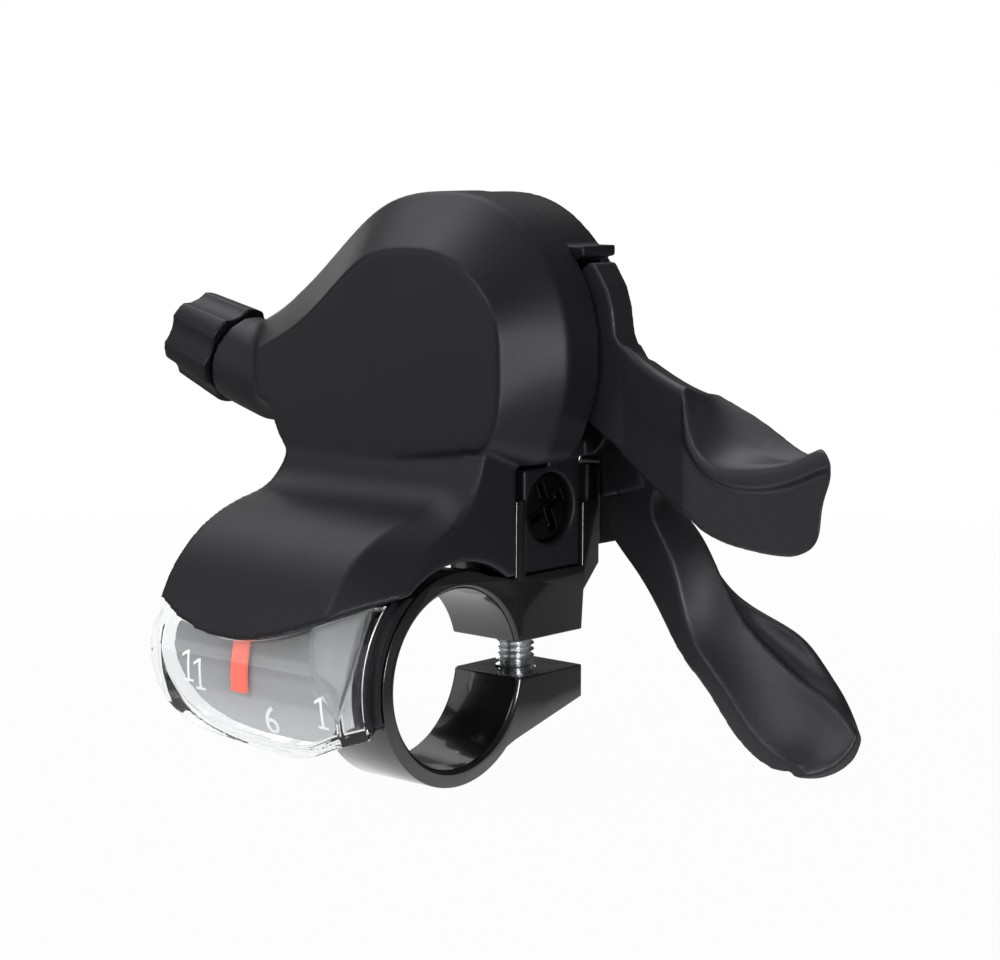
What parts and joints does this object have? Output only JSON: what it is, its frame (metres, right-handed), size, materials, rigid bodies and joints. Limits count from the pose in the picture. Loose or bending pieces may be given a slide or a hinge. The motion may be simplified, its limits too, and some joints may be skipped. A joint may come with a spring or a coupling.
{
  "type": "trigger gear shifter",
  "caption": "Handlebar trigger gear shifter with a hooded gear display, a bar clamp, a thumb lever, a release lever and a barrel adjuster for the cable.",
  "frame": {"origin": "centre of the handlebar clamp's bore, at the middle of its width", "axes": "+X along the handlebar, outboard; -Y the side that the rider sees, with the cover and the display; +Z forward, away from the rider"},
  "size_m": [0.1061, 0.0553, 0.072],
  "materials": {
    "clamp_paint": "gloss black paint on cast aluminium",
    "zinc_bolt": "bright zinc plate",
    "cover_plastic": "satin black, fine grain",
    "case_plastic": "satin black",
    "lever_plastic": "satin black, fine grain",
    "black_screw": "black oxide",
    "steel": "zinc plated",
    "spring_steel": "drawn wire",
    "lens_clear": "clear, polished",
    "dial_print": "printed grey scale with pale numerals",
    "needle_red": "bright orange red",
    "gear_plastic": "natural acetal"
  },
  "bodies": {
    "housing": {"clamp_band": "clamp_paint", "clamp_bolt": "zinc_bolt", "top_cover": "cover_plastic", "lower_case": "case_plastic", "housing_screw": "black_screw", "base_plate": "steel", "lens": "lens_clear", "dial_case": "case_plastic", "dial_plate": "dial_print", "lever_axle": "steel", "axle_washer": "steel", "axle_nut": "steel", "cover_screw_1": "black_screw", "cover_screw_2": "black_screw", "cover_screw_3": "black_screw", "spool_spring": "spring_steel", "adjuster_spring": "spring_steel", "release_spring": "spring_steel", "thumb_spring": "spring_steel"},
    "indicator": {"needle": "needle_red", "needle_shaft": "steel", "sector_gear": "gear_plastic"},
    "spool_unit": {"spool": "gear_plastic", "spool_gear": "gear_plastic", "ratchet_wheel": "steel"},
    "thumb": {"thumb_lever": "lever_plastic", "feed_pawl_pin": "steel"},
    "feed": {"feed_pawl": "steel"},
    "hold": {"hold_pawl": "steel"},
    "release": {"release_lever": "lever_plastic"},
    "adjuster": {"barrel_adjuster": "case_plastic"}
  },
  "joints": [
    {"name": "thumb_lever_pivot", "type": "hinge", "parent": "housing", "child": "thumb", "pos_m": [-0.006, 0.0272, 0.0385], "axis": [0, -1, 0], "range_deg": [0, 36], "stiffness_Nm_per_rad": 0.12, "springref_deg": -17.19},
    {"name": "release_lever_pivot", "type": "hinge", "parent": "housing", "child": "release", "pos_m": [-0.006, 0.0194, 0.0385], "axis": [0, 1, 0], "range_deg": [0, 12], "stiffness_Nm_per_rad": 0.12, "springref_deg": -17.19},
    {"name": "spool_turn", "type": "hinge", "parent": "housing", "child": "spool_unit", "pos_m": [-0.006, 0.0106, 0.0385], "axis": [0, -1, 0], "range_deg": [-64.29, 64.29]},
    {"name": "needle_swing", "type": "hinge", "parent": "housing", "child": "indicator", "pos_m": [-0.015, 0.002, 0.01625], "axis": [0, -1, 0], "range_deg": [-34.63, 34.63]},
    {"name": "feed_pawl_rock", "type": "hinge", "parent": "thumb", "child": "feed", "pos_m": [-0.01972, 0.0145, 0.04217], "axis": [0, 1, 0], "range_deg": [0, 12], "stiffness_Nm_per_rad": 0.002, "springref_deg": -11.46},
    {"name": "hold_pawl_rock", "type": "hinge", "parent": "housing", "child": "hold", "pos_m": [-0.00847, 0.0145, 0.05248], "axis": [0, 1, 0], "range_deg": [0, 10], "stiffness_Nm_per_rad": 0.002, "springref_deg": -11.46},
    {"name": "barrel_adjuster_turn", "type": "hinge", "parent": "housing", "child": "adjuster", "pos_m": [-0.045, 0.012, 0.0356], "axis": [-0.9563, 0, 0.2924], "range_deg": [0, 1440]}
  ],
  "couplings": [
    {"joint": "needle_swing", "follows": "spool_turn", "ratio": -0.53846}
  ]
}
